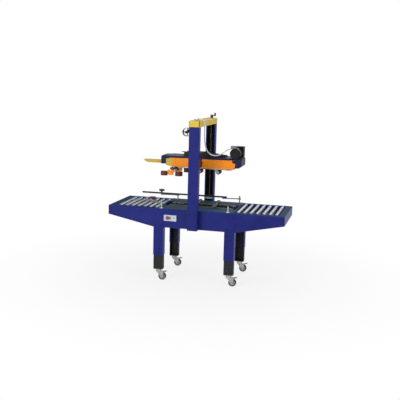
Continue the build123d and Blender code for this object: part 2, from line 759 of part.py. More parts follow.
# ---------------------------------------------------------------- head
def head_frame():
    """Long plates, slider plates, ties, lift arms with their nuts, idlers and presser rods."""
    plates = belt_frame_plates(
        head_outer_plate_x0, head_frame_bottom, head_frame_top, upper_pulley_z,
        (upper_idler_x, pulley_centre_x),
    )
    inner = frame_inner_y - belt_frame_sheet
    outer = frame_outer_y + belt_frame_sheet
    slider_x0 = upper_idler_x + pulley_radius + 8
    slider_bottom = head_plane + belt_thickness + 0.5
    slider = block(slider_x0, slider_reach, inner, outer, slider_bottom, head_frame_bottom)
    top = block(head_outer_plate_x0, belt_frame_half_length, inner, outer, head_frame_top, head_frame_top + 3)
    pieces = plates + both_sides(slider) + both_sides(top)
    for x in (tape_head_back_x - 45, tape_head_front_x + 20):
        tie_bottom = upper_pulley_z + pulley_radius + 8
        pieces.append(block(x, x + 12, -inner, inner, tie_bottom, head_frame_top))
    half = carriage_half_width
    nut_z0 = head_frame_bottom
    nut_z1 = head_frame_top + 20
    block_y0 = half_width + column_sheet + free_gap
    block_y1 = column_outer_y - column_sheet - free_gap
    block_x = column_width / 2 - column_sheet - free_gap
    arm = block(-half, half, outer, block_y0, nut_z0 + 12, head_frame_top - 6)
    arm -= block(-half + 4, half - 4, outer - 1, block_y0 - 8, nut_z0 + 16, head_frame_top - 10)
    nut = block(-block_x, block_x, block_y0, block_y1, nut_z0, nut_z1)
    nut -= bar_z(0, screw_y, nut_z0 - 1, nut_z1 + 1, screw_radius + running)
    pieces += both_sides(arm) + both_sides(nut)
    pieces += pulley_pair(upper_idler_x, upper_pulley_z, outer - 0.5)
    save("head_frame", pieces, presser_rods())


def side_cover():
    """Far cover: flat face, turned-in nose, top and bottom returns, stepped outfeed end."""
    low = head_frame_bottom + 1
    high = head_frame_top + 3
    right = cover_right_x
    y1 = cover_face_y
    y0 = y1 - cover_sheet
    outline = [
        (cover_left_x, low),
        (right + 20, low + 2),
        (right + 31, low + 22),
        (right + 35, low + 56),
        (right + 6, low + 62),
        (right, high),
        (cover_left_x, high),
    ]
    face = sheet_xz(outline, y0, y1)
    lip_y = frame_outer_y + belt_frame_sheet
    returns = block(cover_left_x, right, lip_y, y1, high - cover_sheet, high)
    returns += block(cover_left_x, right, lip_y, y1, low, low + cover_sheet)
    cover = face + returns
    nose_y = 104.0
    run_x = cover_left_x - cover_nose_x
    outline = [
        (cover_left_x, y1), (cover_nose_x, nose_y), (cover_nose_x, nose_y - cover_sheet),
        (cover_left_x, y0),
    ]
    nose = sheet_xy(outline, low, high)
    slope_low = [(cover_nose_x - 1, low - 1), (cover_nose_x + run_x * 0.9, low - 1), (cover_nose_x - 1, low + 10)]
    slope_high = [(cover_nose_x - 1, high + 1), (cover_nose_x + run_x * 0.9, high + 1),
                  (cover_nose_x - 1, high - 14)]
    nose -= sheet_xz(slope_low, 60, 160)
    nose -= sheet_xz(slope_high, 60, 160)
    cover += nose
    notch = carriage_half_width + 2
    cover -= block(-notch, notch, lip_y - 1, y1 + 1, low + 9, high + 1)
    return cover


def head_covers():
    """Side covers, the tray over the head and the nose bar at the infeed end."""
    far = side_cover()
    low = head_frame_top + 3.2
    half = frame_outer_y - 2
    tray_left = -belt_frame_half_length
    tray = block(tray_left, 288, -half, half, low, tray_top)
    tray -= block(tray_left - 1, 286, -half + 2, half - 2, low - 1, tray_top - 2)
    slot_half = tape_head_half_width + 3
    tray -= block(tape_head_back_x - 4, tape_head_front_x + 4, -slot_half, slot_half, low - 1, tray_top + 1)
    hood_half = 82.0
    hood_left = tray_left - 62
    hood_low = head_frame_bottom + 20
    side_outline = [
        (hood_left, hood_low), (tray_left - 0.5, hood_low), (tray_left - 0.5, tray_top),
        (hood_left + 16, tray_top), (hood_left, tray_top - 14),
    ]
    hood = sheet_xz(side_outline, -hood_half, hood_half)
    inner_outline = [
        (hood_left + 2, hood_low - 1), (tray_left, hood_low - 1), (tray_left, tray_top - 2),
        (hood_left + 17, tray_top - 2), (hood_left + 2, tray_top - 15),
    ]
    hood -= sheet_xz(inner_outline, -hood_half + 2, hood_half - 2)
    nose_window = 21.0
    hood -= block(hood_left - 1, hood_left + 3, -nose_window, nose_window, hood_low - 1, hood_low + 34)
    save("head_top_cover", tray, hood)
    nose_low = hood_low - 2
    nose_root = -belt_frame_half_length - 1
    tip = -600.0
    outline = [
        (nose_root, nose_low), (tip + 46, nose_low), (tip, nose_low + 20), (tip, nose_low + 27),
        (tip + 14, nose_low + 31), (nose_root, nose_low + 31),
    ]
    nose = sheet_xz(outline, -20, 20)
    inner = frame_inner_y - belt_frame_sheet
    saddle = block(nose_root, nose_root + 10, -inner, inner, nose_low, nose_low + 31)
    save("head_side_covers", both_sides(far), nose + saddle)


upper_housing_x0 = 351.0
upper_housing_x1 = 408.0
motor_x = 343.0
motor_radius = 51.0


def upper_drive():
    """Upper pulleys and belts, the drive housing, the motor and its gear case."""
    save("upper_belts", both_sides(belt_loop(belt_centre_y, upper_idler_x, upper_pulley_z)))
    reach = frame_outer_y + belt_frame_sheet - 0.5
    save("upper_drive_pulleys", pulley_pair(pulley_centre_x, upper_pulley_z, reach))
    low = head_frame_bottom + 14
    high = head_frame_top + 18
    x0 = upper_housing_x0
    x1 = upper_housing_x1
    outline = [(x0, low), (x1 - 26, low), (x1, low + 20), (x1, high), (x0, high)]
    housing = sheet_xz(outline, -cover_face_y + 3, 70)
    t = cover_sheet
    hollow = [(x0 - 1, low + t), (x1 - 27, low + t), (x1 - t, low + 21), (x1 - t, high - t), (x0 - 1, high - t)]
    housing -= sheet_xz(hollow, -cover_face_y + 3 + t, 70 - t)
    foot = belt_frame_half_length
    for y0, y1 in ((-117, -70), (20, 60)):
        housing += block(foot, x0 + 1, y0, y1, low + 40, high)
    motor_z = high + motor_radius + 0.5
    front_y = -cover_face_y - 2
    motor = bar_y(motor_x, front_y + 4, -12, motor_z, motor_radius)
    for index in range(9):
        groove_y = front_y + 34 + index * 9
        ring = bar_y(motor_x, groove_y, groove_y + 4, motor_z, motor_radius + 1)
        ring -= bar_y(motor_x, groove_y - 1, groove_y + 5, motor_z, motor_radius - 3)
        motor -= ring
    cap = bar_y(motor_x, front_y, front_y + 4, motor_z, motor_radius - 6)
    motor += cap
    motor += block(motor_x - 4, upper_housing_x1 - 6, -100, -16, high, high + 12)
    terminal_top = motor_z + motor_radius + 20
    terminal = block(motor_x - 46, motor_x + 4, -122, -66, motor_z + motor_radius - 8, terminal_top)
    terminal -= bar_y(motor_x, front_y, -12, motor_z, motor_radius + 0.2)
    save("upper_motor", motor, terminal)
    case = block(motor_x - 12, motor_x + 60, -12, 58, high, high + 112)
    case = fillet(case.edges().filter_by(Axis.Y), 4)
    save("upper_drive_housing", housing, case)


# ---------------------------------------------------------------- side pressers
presser_x = -280.0
presser_y = 158.0
presser_bar_z = 1079.0
presser_rods_x = (-250.0, -212.0)
presser_rod_radius = 6.0
presser_rod_end = 262.0


def presser():
    """Far presser: slide block on two rods, orange bracket and two upright rollers."""
    top = presser_bar_z - 12
    low = 1018.0
    bracket = block(presser_x - 27, presser_x + 27, presser_y - 12, presser_y + 12, low, top)
    bracket += block(presser_x - 27, -198, presser_y - 6, presser_y + 6, top - 10, top)
    slider = block(-264, -198, presser_y - 12, presser_y + 12, top, presser_bar_z + 10)
    for x in presser_rods_x:
        slider -= bar_y(x, presser_y - 20, presser_y + 20, presser_bar_z, presser_rod_radius + running)
    left = bar_z(presser_x - 64, presser_y, low - 6, low + 34, 33)
    right = bar_z(presser_x + 84, presser_y, low - 6, low + 34, 36)
    arms = block(presser_x - 64, presser_x + 84, presser_y - 5, presser_y + 5, low + 34, low + 38)
    bracket += arms
    return [bracket, slider, left, right]


def presser_rods():
    """The rods the pressers slide on, two on each side of the head."""
    rods = []
    for x in presser_rods_x:
        rod = bar_y(x, frame_outer_y + belt_frame_sheet, presser_rod_end, presser_bar_z, presser_rod_radius)
        rods += both_sides(rod)
    return rods


def pressers():
    """The two side pressers."""
    far = presser()
    save("far_side_presser", far)
    save("near_side_presser", [mirrored_y(piece) for piece in far])


# ---------------------------------------------------------------- carton guides
post_x = 325.0
post_y = 288.0
post_radius = 7.0
arm_length = 170.0
rail_y = 250.0
rail_z = 766.0
rail_half_height = 8.0
rail_joint_radius = 5.0


def guide_posts():
    """Four posts bolted through the deck plates that the guide arms turn on."""
    posts = []
    for x, side, top in ((-post_x, -1, 792), (post_x, -1, 766), (-post_x, 1, 766), (post_x, 1, 782)):
        z0 = bed_top + deck_sheet
        post = bar_z(x, side * post_y, z0, top, post_radius)
        post += block(x - 16, x + 16, side * post_y - 14, side * post_y + 14, z0, z0 + 4)
        posts.append(post)
    return posts


def swing_arm(x, y, z, length, angle, knob_at):
    """Bored eye on its post and a flat arm; angle in degrees from +X."""
    eye = bar_z(x, y, z - 9, z + 9, 14)
    turn = math.radians(angle)
    end_x = x + length * math.cos(turn)
    end_y = y + length * math.sin(turn)
    arm = eye + Pos((x + end_x) / 2, (y + end_y) / 2, z) * Rot(0, 0, angle) * Box(length, 10, 10)
    arm -= bar_z(x, y, z - 10, z + 10, post_radius + running)
    arm += bar_z(end_x, end_y, z - 5, z + 5, 8)
    return arm, end_x, end_y


def guides():
    """The far rail on its two arms, and the operator's side arm with its knob."""
    drop = math.degrees(math.asin((post_y - rail_y) / arm_length))
    angle = 180 + drop
    arm_z = rail_z - rail_half_height - 6.5
    infeed, joint_x, joint_y = swing_arm(-post_x, post_y, arm_z, arm_length, angle, 0)
    infeed += bar_z(joint_x, joint_y, arm_z + 5, rail_z + rail_half_height + 1, rail_joint_radius)
    knob = star_knob(joint_x, joint_y, rail_z + rail_half_height + 1)
    save("far_guide_arm_infeed", infeed, knob)
    outfeed, end_x, end_y = swing_arm(post_x, post_y, arm_z, arm_length, angle, 0)
    outfeed += bar_z(end_x, end_y, arm_z + 5, rail_z - rail_half_height + 10, rail_joint_radius)
    save("far_guide_arm_outfeed", outfeed)
    rail = block(-700, 200, joint_y - 6.5, joint_y + 6.5, rail_z - rail_half_height, rail_z + rail_half_height)
    rail = fillet(rail.edges().filter_by(Axis.X), 2)
    rail -= bar_z(joint_x, joint_y, rail_z - 20, rail_z + 20, rail_joint_radius + running)
    rail -= bar_z(end_x, end_y, rail_z - 20, rail_z - rail_half_height + 11, rail_joint_radius + running)
    save("far_guide_rail", rail)
    near_z = 752.0
    near, near_x, near_y = swing_arm(-post_x, -post_y, near_z, 300, 137.6, 0)
    turn = math.radians(137.6)
    knob_x = -post_x + 172 * math.cos(turn)
    knob_y = -post_y + 172 * math.sin(turn)
    collar = bar_z(knob_x, knob_y, near_z + 5, near_z + 12, 12)
    near_knob = star_knob(knob_x, knob_y, near_z + 12)
    save("near_guide_arm", near, collar, near_knob)


# ---------------------------------------------------------------- controls
button_x = -258.0
switch_x = -233.0
lamp_x = -196.0
control_z = 622.0
button_radius = 11.0


def controls():
    """Face plate and box on the operator's side, with stop button and rocker switch."""
    face = -half_width
    plate = block(control_x0, control_x1, face - 2.5, face, control_z0, control_z1)
    plate = fillet(plate.edges().filter_by(Axis.Y), 4)
    box_depth = 70.0
    x0 = control_body_x0
    x1 = control_x1 - control_rim - 1
    z0 = control_z0 + control_rim + 1
    z1 = control_z1 - control_rim - 1
    body = block(x0, x1, face, face + box_depth, z0, z1)
    body -= block(x0 + 2, x1 - 2, face - 1, face + box_depth - 2, z0 + 2, z1 - 2)
    plate -= bar_y(button_x, face - 4, face + 1, control_z, button_radius + 0.4)
    plate -= block(switch_x - 7.4, switch_x + 7.4, face - 4, face + 1, control_z - 12.4, control_z + 12.4)
    plate -= bar_y(lamp_x, face - 4, face + 1, control_z + 1, 5)
    collar = bar_y(button_x, face - 2.6, face - 6, control_z, button_radius + 5)
    collar -= bar_y(button_x, face - 2, face - 7, control_z, button_radius + 0.4)
    lamp = bar_y(lamp_x, face - 5, face + 8, control_z + 1, 5)
    save("control_box", plate, body, collar, lamp)
    button = bar_y(button_x, face - 13, face + 12, control_z, button_radius)
    button = fillet(button.edges().filter_by(GeomType.CIRCLE).sort_by(Axis.Y)[0], 3)
    save("stop_button", button)
    rocker = bar_x(switch_x - 7, switch_x + 7, face + 4, control_z, 10)
    save("power_switch", rocker)


# ---------------------------------------------------------------- motor cable
cable_radius = 5.0
cable_start_x = 38.0
cable_start_y = -304.0
cable_start_z = beam_top + 12
cable_points = [
    (cable_start_x, cable_start_y, cable_start_z), (56, cable_start_y, cable_start_z),
    (71.5, -303, cable_start_z - 9), (80.5, -300, cable_start_z - 24.5),
    (83, -295, 1510), (79, -285, 1464), (77, -274, 1410), (79, -263, 1356), (86, -253, 1307),
    (101, -241, 1267), (130, -225, 1239), (168, -203, 1227), (205, -172, 1236), (237, -148, 1256),
    (262, -124, 1278), (280, -110, 1290), (297, -110, 1290),
]


def cable_gland():
    """Elbow fitting on the beam that the motor cable comes out of."""
    gland = bar_x(cable_start_x - 22, cable_start_x, cable_start_y, cable_start_z, 8.5)
    gland += bar_z(cable_start_x - 22, cable_start_y, beam_top, cable_start_z + 8, 8.5)
    return gland


def motor_cable():
    """Hanging cable from the gland on the beam to the motor's terminal box."""
    points = [Vector(*point) for point in cable_points]
    radii = []
    for before, here, after in zip(points, points[1:], points[2:]):
        turn = (here - before).get_angle(after - here)
        shorter = min((here - before).length, (after - here).length)
        radii.append(0.45 * shorter / math.tan(math.radians(turn) / 2))
    print("cable radii", [round(radius) for radius in radii])
    path = FilletPolyline(*points, radius=radii)
    start = Plane(origin=points[0], z_dir=(points[1] - points[0]).normalized())
    tube = sweep(start * Circle(cable_radius), path=path)
    print("cable length", round(path.length, 1), "volume ratio",
          round(tube.volume / (math.pi * cable_radius ** 2 * path.length), 4))
    save("motor_cable", tube)


def main():
    os.makedirs("parts", exist_ok=True)
    side_panels()
    cross_frame()
    deck_plates()
    legs()
    castors()
    gravity_rollers()
    lower_drive_frame()
    lower_drive()
    tape_heads()
    lift()
    tape_reel()
    head_frame()
    head_covers()
    upper_drive()
    pressers()
    guides()
    controls()
    motor_cable()


main()
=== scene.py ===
import math

import bmesh
import bpy
from mathutils import Matrix, Vector


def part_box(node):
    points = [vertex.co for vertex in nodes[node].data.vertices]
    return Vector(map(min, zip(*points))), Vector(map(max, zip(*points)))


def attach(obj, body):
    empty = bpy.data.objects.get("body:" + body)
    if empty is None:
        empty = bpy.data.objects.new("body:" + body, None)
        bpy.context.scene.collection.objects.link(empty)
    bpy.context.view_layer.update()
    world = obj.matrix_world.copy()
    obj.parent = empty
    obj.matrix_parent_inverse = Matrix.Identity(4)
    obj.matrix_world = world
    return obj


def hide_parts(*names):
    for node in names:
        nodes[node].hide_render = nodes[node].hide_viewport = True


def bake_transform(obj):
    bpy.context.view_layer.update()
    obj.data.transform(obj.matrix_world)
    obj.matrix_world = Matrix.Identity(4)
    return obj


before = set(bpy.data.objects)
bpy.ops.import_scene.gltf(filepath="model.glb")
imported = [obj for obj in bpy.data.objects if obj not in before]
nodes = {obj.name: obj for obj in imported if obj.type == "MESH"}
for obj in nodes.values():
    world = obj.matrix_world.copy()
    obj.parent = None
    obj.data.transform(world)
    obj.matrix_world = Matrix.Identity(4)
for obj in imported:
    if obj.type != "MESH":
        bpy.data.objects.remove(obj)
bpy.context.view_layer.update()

# ------------------------------------------------------------------ studio and camera
# The machine stands on a wide pale floor under soft studio lamps, seen from the
# operator's side, a little from the outfeed end and from above eye level.
floor_mesh = bpy.data.meshes.new("studio_floor")
floor_bm = bmesh.new()
bmesh.ops.create_grid(floor_bm, x_segments=1, y_segments=1, size=40)
floor_bm.to_mesh(floor_mesh)
floor_bm.free()
floor = bpy.data.objects.new("studio_floor", floor_mesh)
bpy.context.scene.collection.objects.link(floor)
floor_paint = bpy.data.materials.new("studio_floor")
floor_paint.use_nodes = True
floor_shader = floor_paint.node_tree.nodes["Principled BSDF"]
floor_shader.inputs["Base Color"].default_value = (0.80, 0.80, 0.80, 1)
floor_shader.inputs["Roughness"].default_value = 0.8
floor_shader.inputs["Specular IOR Level"].default_value = 0.1
floor_glow = floor_paint.node_tree.nodes.new("ShaderNodeEmission")
floor_glow.inputs["Strength"].default_value = 1.0
floor_place = floor_paint.node_tree.nodes.new("ShaderNodeTexCoord")
floor_reach = floor_paint.node_tree.nodes.new("ShaderNodeVectorMath")
floor_reach.operation = "LENGTH"
floor_fade = floor_paint.node_tree.nodes.new("ShaderNodeMapRange")
floor_fade.interpolation_type = "SMOOTHSTEP"
floor_fade.inputs["From Min"].default_value = 0.7
floor_fade.inputs["From Max"].default_value = 2.6
floor_fade.inputs["To Min"].default_value = 0.78
floor_rays = floor_paint.node_tree.nodes.new("ShaderNodeLightPath")
floor_seen = floor_paint.node_tree.nodes.new("ShaderNodeMath")
floor_seen.operation = "MULTIPLY"
floor_switch = floor_paint.node_tree.nodes.new("ShaderNodeMixShader")
floor_out = floor_paint.node_tree.nodes["Material Output"]
floor_link = floor_paint.node_tree.links.new
floor_link(floor_place.outputs["Object"], floor_reach.inputs[0])
floor_link(floor_reach.outputs["Value"], floor_fade.inputs["Value"])
floor_link(floor_fade.outputs["Result"], floor_seen.inputs[0])
floor_link(floor_rays.outputs["Is Camera Ray"], floor_seen.inputs[1])
floor_link(floor_seen.outputs[0], floor_switch.inputs[0])
floor_link(floor_shader.outputs[0], floor_switch.inputs[1])
floor_link(floor_glow.outputs[0], floor_switch.inputs[2])
floor_link(floor_switch.outputs[0], floor_out.inputs["Surface"])
floor_mesh.materials.append(floor_paint)

studio = bpy.data.worlds.new("studio")
bpy.context.scene.world = studio
studio.use_nodes = True
sky = studio.node_tree
sky.nodes.clear()
soft_light = sky.nodes.new("ShaderNodeBackground")
soft_light.inputs["Color"].default_value = (1, 1, 1, 1)
soft_light.inputs["Strength"].default_value = 0.62
white_wall = sky.nodes.new("ShaderNodeBackground")
white_wall.inputs["Color"].default_value = (1, 1, 1, 1)
white_wall.inputs["Strength"].default_value = 1.0
ray_kind = sky.nodes.new("ShaderNodeLightPath")
direct_ray = sky.nodes.new("ShaderNodeMath")
direct_ray.operation = "MAXIMUM"
wall_or_light = sky.nodes.new("ShaderNodeMixShader")
world_out = sky.nodes.new("ShaderNodeOutputWorld")
sky.links.new(ray_kind.outputs["Is Camera Ray"], direct_ray.inputs[0])
sky.links.new(ray_kind.outputs["Is Transmission Ray"], direct_ray.inputs[1])
sky.links.new(direct_ray.outputs[0], wall_or_light.inputs[0])
sky.links.new(soft_light.outputs[0], wall_or_light.inputs[1])
sky.links.new(white_wall.outputs[0], wall_or_light.inputs[2])
sky.links.new(wall_or_light.outputs[0], world_out.inputs["Surface"])

for lamp_name, place, aim, width, power in (
    ("key_lamp", (-2.6, -4.6, 2.6), (0.0, 0.0, 0.9), 2.6, 130.0),
    ("fill_lamp", (4.4, -3.4, 2.4), (0.0, 0.0, 0.8), 2.4, 60.0),
    ("back_lamp", (1.0, 4.2, 3.0), (0.0, 0.0, 0.9), 2.4, 50.0),
):
    lamp_data = bpy.data.lights.new(lamp_name, "AREA")
    lamp_data.size = width
    lamp_data.energy = power
    lamp = bpy.data.objects.new(lamp_name, lamp_data)
    lamp.location = place
    lamp.rotation_euler = (Vector(aim) - Vector(place)).to_track_quat("-Z", "Y").to_euler()
    bpy.context.scene.collection.objects.link(lamp)

camera_place = (1.5706, -6.4597, 1.8900)
camera_yaw = 0.25435
camera_pitch = 0.16868
camera_roll = -0.02336
ahead = Vector((-math.sin(camera_yaw) * math.cos(camera_pitch),
                math.cos(camera_yaw) * math.cos(camera_pitch), -math.sin(camera_pitch)))
level = Vector((math.cos(camera_yaw), math.sin(camera_yaw), 0))
under = ahead.cross(level)
right = level * math.cos(camera_roll) + under * math.sin(camera_roll)
down = under * math.cos(camera_roll) - level * math.sin(camera_roll)
camera_data = bpy.data.cameras.new("camera")
camera_data.sensor_width = 36.0
camera_data.lens = 61.52
camera_data.shift_x = 0.0223
camera_data.shift_y = 0.0008
camera_data.clip_end = 200.0
camera = bpy.data.objects.new("camera", camera_data)
camera_turn = Matrix((right, -down, -ahead)).transposed().to_4x4()
camera.matrix_world = Matrix.Translation(camera_place) @ camera_turn
bpy.context.scene.collection.objects.link(camera)
bpy.context.scene.camera = camera
bpy.context.scene.view_settings.view_transform = "Standard"


# ------------------------------------------------------------------ motor cable
# A grey PVC sheathed flex, 10 mm thick, that leaves the elbow gland on the top beam,
# hangs in a loop and enters the motor's terminal box.
cable_diameter = 0.010
cable_route = [
    (0.038, -0.304, 1.568), (0.056, -0.304, 1.568), (0.0715, -0.303, 1.559), (0.0805, -0.300, 1.5435),
    (0.083, -0.295, 1.510), (0.079, -0.285, 1.464), (0.077, -0.274, 1.410), (0.079, -0.263, 1.356),
    (0.086, -0.253, 1.307), (0.101, -0.241, 1.267), (0.130, -0.225, 1.239), (0.168, -0.203, 1.227),
    (0.205, -0.172, 1.236), (0.237, -0.148, 1.256), (0.262, -0.124, 1.278), (0.280, -0.110, 1.290),
    (0.297, -0.110, 1.290),
]
cable_line = bpy.data.curves.new("motor_cable_line", "CURVE")
cable_line.dimensions = "3D"
cable_line.resolution_u = 10
cable_spline = cable_line.splines.new("NURBS")
cable_spline.points.add(len(cable_route) - 1)
for point, place in zip(cable_spline.points, cable_route):
    point.co = (*place, 1)
cable_spline.order_u = 3
cable_spline.use_endpoint_u = True
line_object = bpy.data.objects.new("motor_cable_line", cable_line)
bpy.context.scene.collection.objects.link(line_object)
cable_path = [tuple(v.co) for v in bpy.data.meshes.new_from_object(line_object).vertices]
cable_line.bevel_depth = cable_diameter / 2
cable_line.bevel_resolution = 4
cable_line.use_fill_caps = True
bpy.context.view_layer.update()
cable_mesh = bpy.data.meshes.new_from_object(line_object)
bpy.data.objects.remove(line_object)
cable = bpy.data.objects.new("motor_cable_flex", cable_mesh)
bpy.context.scene.collection.objects.link(cable)
cable_mesh.polygons.foreach_set("use_smooth", [True] * len(cable_mesh.polygons))


def moulded(name, colour, roughness, grain=1500.0, bump=0.12, variation=0.12, smudge=14.0):
    """Moulded plastic or rubber: a fine skin, faint clouding and handled, shinier patches."""
    material = bpy.data.materials.new(name)
    material.use_nodes = True
    tree = material.node_tree
    shader = tree.nodes["Principled BSDF"]
    place = tree.nodes.new("ShaderNodeTexCoord")
    cloud = tree.nodes.new("ShaderNodeTexNoise")
    cloud.inputs["Scale"].default_value = smudge
    cloud.inputs["Detail"].default_value = 5
    skin = tree.nodes.new("ShaderNodeTexNoise")
    skin.inputs["Scale"].default_value = grain
    skin.inputs["Detail"].default_value = 2
    tint = tree.nodes.new("ShaderNodeValToRGB")
    tint.color_ramp.elements[0].position = 0.3
    tint.color_ramp.elements[1].position = 0.72
    tint.color_ramp.elements[0].color = (*[c * (1 - variation) for c in colour], 1)
    tint.color_ramp.elements[1].color = (*[min(1, c * (1 + variation) + 0.004) for c in colour], 1)
    shine = tree.nodes.new("ShaderNodeMapRange")
    shine.inputs["To Min"].default_value = max(0.05, roughness - 0.1)
    shine.inputs["To Max"].default_value = min(1.0, roughness + 0.12)
    relief = tree.nodes.new("ShaderNodeBump")
    relief.inputs["Strength"].default_value = bump
    relief.inputs["Distance"].default_value = 0.0005
    for texture in (cloud, skin):
        tree.links.new(place.outputs["Object"], texture.inputs["Vector"])
    tree.links.new(cloud.outputs["Fac"], tint.inputs["Fac"])
    tree.links.new(cloud.outputs["Fac"], shine.inputs["Value"])
    tree.links.new(skin.outputs["Fac"], relief.inputs["Height"])
    tree.links.new(tint.outputs["Color"], shader.inputs["Base Color"])
    tree.links.new(shine.outputs["Result"], shader.inputs["Roughness"])
    tree.links.new(relief.outputs["Normal"], shader.inputs["Normal"])
    return material


cable_sheath = moulded("grey_cable_sheath", (0.60, 0.60, 0.64), 0.42, 1800, 0.08, 0.10, 30)
cable_mesh.materials.clear()
cable_mesh.materials.append(cable_sheath)
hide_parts("motor_cable")
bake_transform(cable)


# ------------------------------------------------------------------ side panels
# Two bent steel panels in deep blue stoved enamel carry everything. Each is folded
# over at the top into a flange and a lip, and bolted to the legs and columns.
def stoved_enamel(name, colour, roughness=0.30, coat=0.06, wear=(0.45, 0.47, 0.50), worn=0.76,
                  cloud_scale=4.0, gloss=0.14):
    """Paint on sheet steel: orange peel, slow shade drift, fine scuffs and chips to bare metal."""
    material = bpy.data.materials.new(name)
    material.use_nodes = True
    tree = material.node_tree
    shader = tree.nodes["Principled BSDF"]
    shader.inputs["Specular IOR Level"].default_value = gloss
    shader.inputs["Coat Weight"].default_value = coat
    shader.inputs["Coat Roughness"].default_value = 0.12
    place = tree.nodes.new("ShaderNodeTexCoord")
    textures = {}
    for key, scale, detail, distortion in (
        ("drift", cloud_scale, 4, 0.4), ("peel", 420, 2, 0), ("scuff", 55, 8, 1.8), ("chip", 130, 9, 0.6),
    ):
        texture = tree.nodes.new("ShaderNodeTexNoise")
        texture.inputs["Scale"].default_value = scale
        texture.inputs["Detail"].default_value = detail
        texture.inputs["Distortion"].default_value = distortion
        tree.links.new(place.outputs["Object"], texture.inputs["Vector"])
        textures[key] = texture
    tint = tree.nodes.new("ShaderNodeValToRGB")
    tint.color_ramp.elements[0].position = 0.32
    tint.color_ramp.elements[1].position = 0.70
    tint.color_ramp.elements[0].color = (*[c * 0.90 for c in colour], 1)
    tint.color_ramp.elements[1].color = (*[min(1, c * 1.10 + 0.003) for c in colour], 1)
    scuff_mask = tree.nodes.new("ShaderNodeMapRange")
    scuff_mask.inputs["From Min"].default_value = 0.62
    scuff_mask.inputs["From Max"].default_value = 0.80
    scuff_mask.inputs["To Max"].default_value = 0.06
    scuffed = tree.nodes.new("ShaderNodeMix")
    scuffed.data_type = "RGBA"
    scuffed.inputs["B"].default_value = (*[min(1, c * 0.6 + 0.22) for c in colour], 1)
    chip_mask = tree.nodes.new("ShaderNodeMapRange")
    chip_mask.inputs["From Min"].default_value = worn
    chip_mask.inputs["From Max"].default_value = worn + 0.02
    chipped = tree.nodes.new("ShaderNodeMix")
    chipped.data_type = "RGBA"
    chipped.inputs["B"].default_value = (*wear, 1)
    shine = tree.nodes.new("ShaderNodeMapRange")
    shine.inputs["To Min"].default_value = roughness - 0.08
    shine.inputs["To Max"].default_value = roughness + 0.14
    relief = tree.nodes.new("ShaderNodeBump")
    relief.inputs["Strength"].default_value = 0.10
    relief.inputs["Distance"].default_value = 0.0008
    tree.links.new(textures["drift"].outputs["Fac"], tint.inputs["Fac"])
    tree.links.new(textures["scuff"].outputs["Fac"], scuff_mask.inputs["Value"])
    tree.links.new(textures["chip"].outputs["Fac"], chip_mask.inputs["Value"])
    tree.links.new(scuff_mask.outputs["Result"], scuffed.inputs["Factor"])
    tree.links.new(tint.outputs["Color"], scuffed.inputs["A"])
    tree.links.new(chip_mask.outputs["Result"], chipped.inputs["Factor"])
    tree.links.new(scuffed.outputs["Result"], chipped.inputs["A"])
    tree.links.new(chipped.outputs["Result"], shader.inputs["Base Color"])
    tree.links.new(textures["scuff"].outputs["Fac"], shine.inputs["Value"])
    tree.links.new(shine.outputs["Result"], shader.inputs["Roughness"])
    tree.links.new(textures["peel"].outputs["Fac"], relief.inputs["Height"])
    tree.links.new(relief.outputs["Normal"], shader.inputs["Normal"])
    return material


def dress(node, finish, *others):
    """Gives a node its finish; faces whose centre passes a test get another one."""
    mesh = nodes[node].data
    mesh.materials.clear()
    mesh.materials.append(finish)
    for other, test in others:
        mesh.materials.append(other)
    for face in mesh.polygons:
        face.material_index = 0
        for index, (other, test) in enumerate(others, 1):
            if test(*face.center):
                face.material_index = index


def plated(name, colour, roughness, stretch=(1.0, 60.0, 60.0), fine=260.0, metal=1.0, tone=0.14):
    """Zinc-plated or ground steel: streaks along the way it was drawn and a dull bloom."""
    material = bpy.data.materials.new(name)
    material.use_nodes = True
    tree = material.node_tree
    shader = tree.nodes["Principled BSDF"]
    shader.inputs["Metallic"].default_value = metal
    place = tree.nodes.new("ShaderNodeTexCoord")
    pull = tree.nodes.new("ShaderNodeMapping")
    pull.inputs["Scale"].default_value = stretch
    streak = tree.nodes.new("ShaderNodeTexNoise")
    streak.inputs["Scale"].default_value = fine / 20
    streak.inputs["Detail"].default_value = 6
    bloom = tree.nodes.new("ShaderNodeTexNoise")
    bloom.inputs["Scale"].default_value = 22
    bloom.inputs["Detail"].default_value = 6
    tint = tree.nodes.new("ShaderNodeValToRGB")
    tint.color_ramp.elements[0].position = 0.30
    tint.color_ramp.elements[1].position = 0.72
    tint.color_ramp.elements[0].color = (*[c * (1 - tone) for c in colour], 1)
    tint.color_ramp.elements[1].color = (*[min(1, c * (1 + tone)) for c in colour], 1)
    shine = tree.nodes.new("ShaderNodeMapRange")
    shine.inputs["To Min"].default_value = roughness - 0.08
    shine.inputs["To Max"].default_value = roughness + 0.15
    relief = tree.nodes.new("ShaderNodeBump")
    relief.inputs["Strength"].default_value = 0.08
    relief.inputs["Distance"].default_value = 0.0004
    tree.links.new(place.outputs["Object"], pull.inputs["Vector"])
    tree.links.new(pull.outputs["Vector"], streak.inputs["Vector"])
    tree.links.new(place.outputs["Object"], bloom.inputs["Vector"])
    tree.links.new(bloom.outputs["Fac"], tint.inputs["Fac"])
    tree.links.new(streak.outputs["Fac"], shine.inputs["Value"])
    tree.links.new(streak.outputs["Fac"], relief.inputs["Height"])
    tree.links.new(tint.outputs["Color"], shader.inputs["Base Color"])
    tree.links.new(shine.outputs["Result"], shader.inputs["Roughness"])
    tree.links.new(relief.outputs["Normal"], shader.inputs["Normal"])
    return material


fastener_zinc = plated("zinc_fasteners", (0.52, 0.52, 0.50), 0.36, (20, 20, 20), 400)


